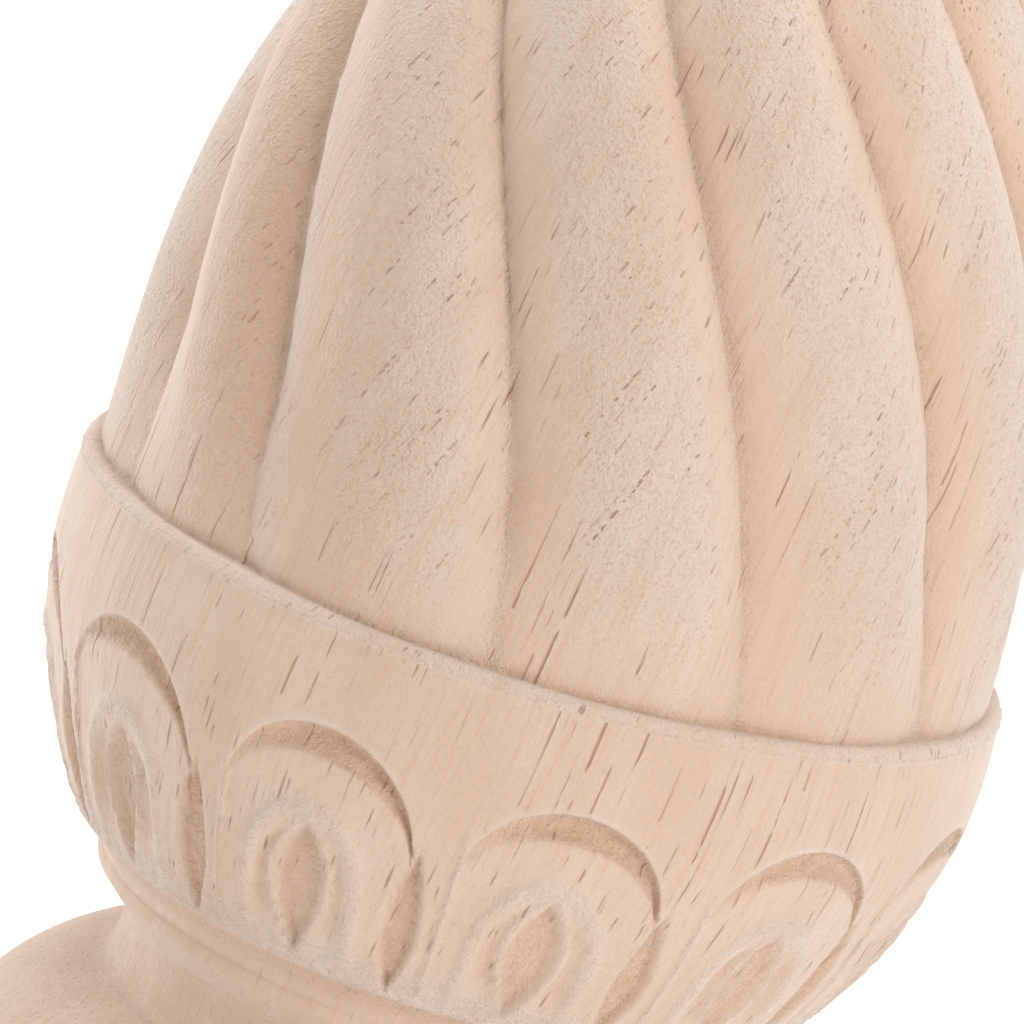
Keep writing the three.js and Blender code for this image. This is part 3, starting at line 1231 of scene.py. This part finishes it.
@dataclass(frozen=True)
class BareWood:
    """Bare sanded hardwood: pale, pinkish beige, matt, with open vessels along the grain.

    A ramp is the input at its start and at its end, and the output at its start and at its end.
    Heights are measured up from the underside.
    """

    pale: Colour = (0.61, 0.46, 0.365, 1.0)
    warm: Colour = (0.565, 0.41, 0.31, 1.0)
    # tan is the wood's tan streaks and also painted shade; grey is the crests' tone and also painted
    # highlights
    tan: Colour = (0.56, 0.345, 0.215, 1.0)
    grey: Colour = (0.61, 0.50, 0.43, 1.0)
    pore: Colour = (0.29, 0.125, 0.055, 1.0)
    streak_scale: float = 1.6
    streak_stretch: float = 0.05
    patch_scale: float = 0.15
    patch_stretch: float = 0.4
    fleck_scale: float = 2.4
    pale_patches: Ramp = (0.3, 0.7, 0.0, 1.0)
    warm_streaks: Ramp = (0.42, 0.7, 0.0, 0.7)
    grey_crests: Ramp = (0.4, 0.6, 0.45, 0.9)
    tan_and_shade_share: float = 0.8
    tan_streaks: Ramp = (0.56, 0.72, 0.0, 0.28)
    torn_flecks: Ramp = (0.0, 0.6, 0.5, 1.0)
    lit_flecks: Ramp = (0.5, 0.72, 0.0, 0.6)
    dull_flecks: Ramp = (0.5, 0.28, 0.0, 0.6)
    long_marks: Vessels = Vessels(spacing=0.58, radius=0.145, edge=0.09, length=3.6, closed=0.44,
                                  tone=(0.15, 1.0, 0.08, 0.68))
    short_marks: Vessels = Vessels(spacing=0.48, radius=0.155, edge=0.09, length=0.7, closed=0.5,
                                   tone=(0.2, 1.0, 0.08, 0.65))
    long_on_crests: Ramp = (0.7, 0.3, 0.0, 1.0)
    short_on_crests: Ramp = (0.3, 0.7, 0.0, 1.0)
    short_over_height: Ramp = (66.5, 68.5, 0.15, 1.0)
    marks_over_height: Ramp = (37.0, 42.0, 0.08, 1.0)
    nap_relief: Ramp = (0.0, 1.0, 0.1, 0.36)
    mark_relief: float = -0.12
    streak_relief: float = 0.06
    relief_size: float = MM
    roughness: Ramp = (0.3, 0.7, 0.68, 0.82)
    sheen: float = 0.5
    specular: float = 0.25

    def ground(self, graph: Graph, noises: Sockets, carving: Sockets) -> bpy.types.NodeSocket:
        """Colour of the wood between its vessels, with shade painted in as tan and highlights painted in as
        grey.

        Args:
            graph: The material's graph.
            noises: Noises named patch, streak and fleck.
            carving: The mesh's values named tan_and_shade, ragged and crest: painted shade, torn wood, and
                crests with painted highlights.

        Returns:
            The colour's socket.
        """
        patch = noises["patch"]
        streak = noises["streak"]
        fleck = noises["fleck"]
        colour = graph.blend(graph.ramp(patch, *self.pale_patches), self.warm, self.pale)
        colour = graph.blend(graph.ramp(streak, *self.warm_streaks), colour, self.warm)
        # Grey where the cut crosses the grain and on the painted highlights
        grey = graph.math("MULTIPLY", carving["crest"], graph.ramp(patch, *self.grey_crests))
        colour = graph.blend(grey, colour, self.grey)
        # Tan as painted shade in cuts, creases and shaded facets
        colour = graph.blend(graph.math("MULTIPLY", carving["tan_and_shade"], self.tan_and_shade_share), colour, self.tan)
        colour = graph.blend(graph.ramp(streak, *self.tan_streaks), colour, self.tan)
        torn = graph.ramp(carving["ragged"], *self.torn_flecks)
        lit = graph.math("MULTIPLY", graph.ramp(fleck, *self.lit_flecks), torn)
        dull = graph.math("MULTIPLY", graph.ramp(fleck, *self.dull_flecks), torn)
        return graph.blend(dull, graph.blend(lit, colour, self.pale), self.tan)

    def marks(self, graph: Graph, group: bpy.types.NodeTree, kind: Vessels,
              vector: bpy.types.NodeSocket, shown: bpy.types.NodeSocket) -> bpy.types.NodeSocket:
        """How strongly one kind of vessel mark darkens the wood.

        Args:
            graph: The material's graph.
            group: The vessels' node group.
            kind: Sizes and tone of the marks.
            vector: Coordinates with Z along the vessels.
            shown: How much of the marks shows at each place.

        Returns:
            A share from 0 to 1.
        """
        inputs = {"Vector": vector, "Spacing": kind.spacing, "Radius": kind.radius, "Edge": kind.edge,
                  "Length": kind.length, "Closed": kind.closed}
        cut = graph.add("ShaderNodeGroup", inputs, node_tree=group).outputs
        mask = graph.math("MULTIPLY", cut["Mask"], shown)
        return graph.math("MULTIPLY", mask, graph.ramp(cut["Tone"], *kind.tone))

    def material(self) -> bpy.types.Material:
        """Build the wood's material.

        Returns:
            The material.
        """
        material = bpy.data.materials.new("bare_wood")
        material.use_nodes = True
        material.node_tree.nodes.clear()
        graph = Graph(material.node_tree)
        straight = graph.attribute("straight").outputs["Vector"]
        swirled = graph.attribute("swirled").outputs["Vector"]
        carving = {name: graph.attribute(name).outputs["Fac"] for name in ("tan_and_shade", "ragged", "crest")}
        place = graph.add("ShaderNodeTexCoord").outputs["Object"]
        drawn_out = graph.stretched(straight, self.streak_stretch)
        patchy = graph.stretched(straight, self.patch_stretch)
        noises = {
            "streak": graph.noise(drawn_out, self.streak_scale, roughness=0.65),
            "patch": graph.noise(patchy, self.patch_scale, roughness=0.6),
            "fleck": graph.noise(place, self.fleck_scale / MM, roughness=0.8),
        }

        # Vessels: long dashes on the slopes and short ones on the crests, hardly any on the stem
        group = vessel_group()
        crest = carving["crest"]
        height = graph.add("ShaderNodeSeparateXYZ", {"Vector": swirled}).outputs["Z"]
        long_share = self.marks(graph, group, self.long_marks, straight,
                                graph.ramp(crest, *self.long_on_crests))
        short_share = self.marks(graph, group, self.short_marks, swirled,
                                 graph.ramp(crest, *self.short_on_crests))
        short_share = graph.math("MULTIPLY", short_share, graph.ramp(height, *self.short_over_height))
        marks = graph.math("ADD", long_share, short_share)
        shown = graph.math("MULTIPLY", marks, graph.ramp(height, *self.marks_over_height))
        colour = graph.blend(shown, self.ground(graph, noises, carving), self.pore)

        # Relief: the nap of torn wood, the open vessels and the streaks
        nap = graph.math("MULTIPLY", noises["fleck"], graph.ramp(carving["ragged"], *self.nap_relief))
        pits = graph.math("MULTIPLY", marks, self.mark_relief)
        streaks = graph.math("MULTIPLY", noises["streak"], self.streak_relief)
        relief = graph.math("ADD", graph.math("ADD", pits, nap), streaks)
        bumps = {"Height": relief, "Distance": self.relief_size, "Strength": 1.0}
        raised = graph.add("ShaderNodeBump", bumps)

        shader = graph.add("ShaderNodeBsdfPrincipled", {
            "Base Color": colour,
            "Roughness": graph.ramp(noises["streak"], *self.roughness),
            "Normal": raised.outputs["Normal"],
        })
        shader.inputs["Specular IOR Level"].default_value = self.specular
        shader.inputs["Sheen Weight"].default_value = self.sheen
        graph.add("ShaderNodeOutputMaterial", {"Surface": shader.outputs["BSDF"]})
        return material


@dataclass
class PhotoCamera:
    """The camera: its place round the cap, its roll and where in the picture the rim's centre lies.

    The target's height, the distance and the sensor are in millimetres, the clipping in metres.
    """

    target_height: float
    distance: float = 421.5
    turn_degrees: float = 2.5
    elevation: float = 0.2456
    roll: float = 0.3052
    focal_pixels: float = 5073.7
    target_column: float = 547.65
    target_row: float = 560.87
    sensor_width: float = 36.0
    nearest: float = 0.01
    farthest: float = 50.0

    def place(self) -> bpy.types.Object:
        """Put the camera in the scene.

        It looks at the rim's centre, is rolled about its line of sight, and is then turned by the
        small angles that carry the rim's centre to its place in the picture.

        Returns:
            The camera.
        """
        turn = math.radians(self.turn_degrees)
        back = Vector((math.sin(turn) * math.cos(self.elevation),
                       -math.cos(turn) * math.cos(self.elevation), math.sin(self.elevation)))
        facing = back.to_track_quat("Z", "Y").to_matrix()
        half = IMAGE_PIXELS / 2.0
        yaw = math.atan((self.target_column - half) / self.focal_pixels)
        pitch = math.atan((self.target_row - half) / self.focal_pixels)
        rolled = facing @ Matrix.Rotation(self.roll, 3, "Z")
        aim = rolled @ Matrix.Rotation(yaw, 3, "Y") @ Matrix.Rotation(pitch, 3, "X")
        data = bpy.data.cameras.new("photo_camera")
        data.sensor_width = self.sensor_width
        data.lens = self.focal_pixels / IMAGE_PIXELS * data.sensor_width
        data.clip_start = self.nearest
        data.clip_end = self.farthest
        camera = bpy.data.objects.new("photo_camera", data)
        rim = Vector((0.0, 0.0, self.target_height * MM))
        camera.matrix_world = Matrix.Translation(rim + back * self.distance * MM) @ aim.to_4x4()
        bpy.context.scene.collection.objects.link(camera)
        bpy.context.scene.camera = camera
        log.info("camera: %.0f mm away, lens %.0f mm", self.distance, data.lens)
        return camera


@dataclass(frozen=True)
class Lamp:
    """A square soft light that faces the cap; its place and size are in metres, its power in watts."""

    glow: Glow
    place: tuple[float, float, float]
    size: float
    power: float
    tint: tuple[float, float, float] = (1.0, 1.0, 1.0)
    aim_height: float = 0.08

    def hang(self) -> bpy.types.Object:
        """Put the light in the scene.

        Returns:
            The light.
        """
        data = bpy.data.lights.new(self.glow.value, "AREA")
        data.shape = "SQUARE"
        data.size = self.size
        data.energy = self.power
        data.color = self.tint
        lamp = bpy.data.objects.new(self.glow.value, data)
        aim = Vector((0.0, 0.0, self.aim_height)) - Vector(self.place)
        turned = aim.to_track_quat("-Z", "Y").to_matrix().to_4x4()
        lamp.matrix_world = Matrix.Translation(self.place) @ turned
        bpy.context.scene.collection.objects.link(lamp)
        log.info("%s light: %.1f W", self.glow.value, self.power)
        return lamp


@dataclass(frozen=True)
class Studio:
    """A plain pale floor, a bright surround and soft lights; the floor's size is in metres."""

    floor_size: float = 12.0
    paper: Colour = (0.93, 0.93, 0.92, 1.0)
    paper_roughness: float = 0.9
    surround: float = 0.57
    surround_tint: Colour = (1.0, 1.0, 1.0, 1.0)
    lamps: tuple[Lamp, ...] = (
        Lamp(Glow.KEY, place=(0.85, -0.9, 0.7), size=0.6, power=9.5, tint=(1.0, 0.99, 0.98)),
        Lamp(Glow.TOP, place=(0.0, 0.3, 1.5), size=1.1, power=14.2),
        Lamp(Glow.EDGE, place=(-1.0, 0.55, 0.45), size=0.6, power=7.5),
    )

    def build(self) -> None:
        """Make the floor, the surround and the lights."""
        self.floor()
        self.world()
        for lamp in self.lamps:
            lamp.hang()
        bpy.context.scene.view_settings.view_transform = "Standard"

    def floor(self) -> bpy.types.Object:
        """A square sheet of matt paper that the cap stands on.

        Returns:
            The floor.
        """
        half = self.floor_size / 2.0
        corners = [(-half, -half, 0.0), (half, -half, 0.0), (half, half, 0.0), (-half, half, 0.0)]
        mesh = bpy.data.meshes.new("floor")
        mesh.from_pydata(corners, [], [(0, 1, 2, 3)])
        floor = bpy.data.objects.new("floor", mesh)
        material = bpy.data.materials.new("paper")
        material.use_nodes = True
        shader = material.node_tree.nodes["Principled BSDF"]
        shader.inputs["Base Color"].default_value = self.paper
        shader.inputs["Roughness"].default_value = self.paper_roughness
        mesh.materials.append(material)
        bpy.context.scene.collection.objects.link(floor)
        return floor

    def world(self) -> None:
        """Light the scene evenly from all round."""
        world = bpy.data.worlds.new("surround")
        world.use_nodes = True
        background = world.node_tree.nodes["Background"]
        background.inputs["Color"].default_value = self.surround_tint
        background.inputs["Strength"].default_value = self.surround
        bpy.context.scene.world = world


def main() -> None:
    """Build the cap, its wood, the camera and the studio."""
    logging.basicConfig(level=logging.INFO, format="%(name)s: %(message)s")
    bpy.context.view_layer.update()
    cap = PostCap()
    piece = cap.build()
    piece.data.materials.append(BareWood().material())
    PhotoCamera(target_height=Cup(ledge_height=cap.stem.ledge_height).rim_height).place()
    Studio().build()


if __name__ == "__main__":
    main()
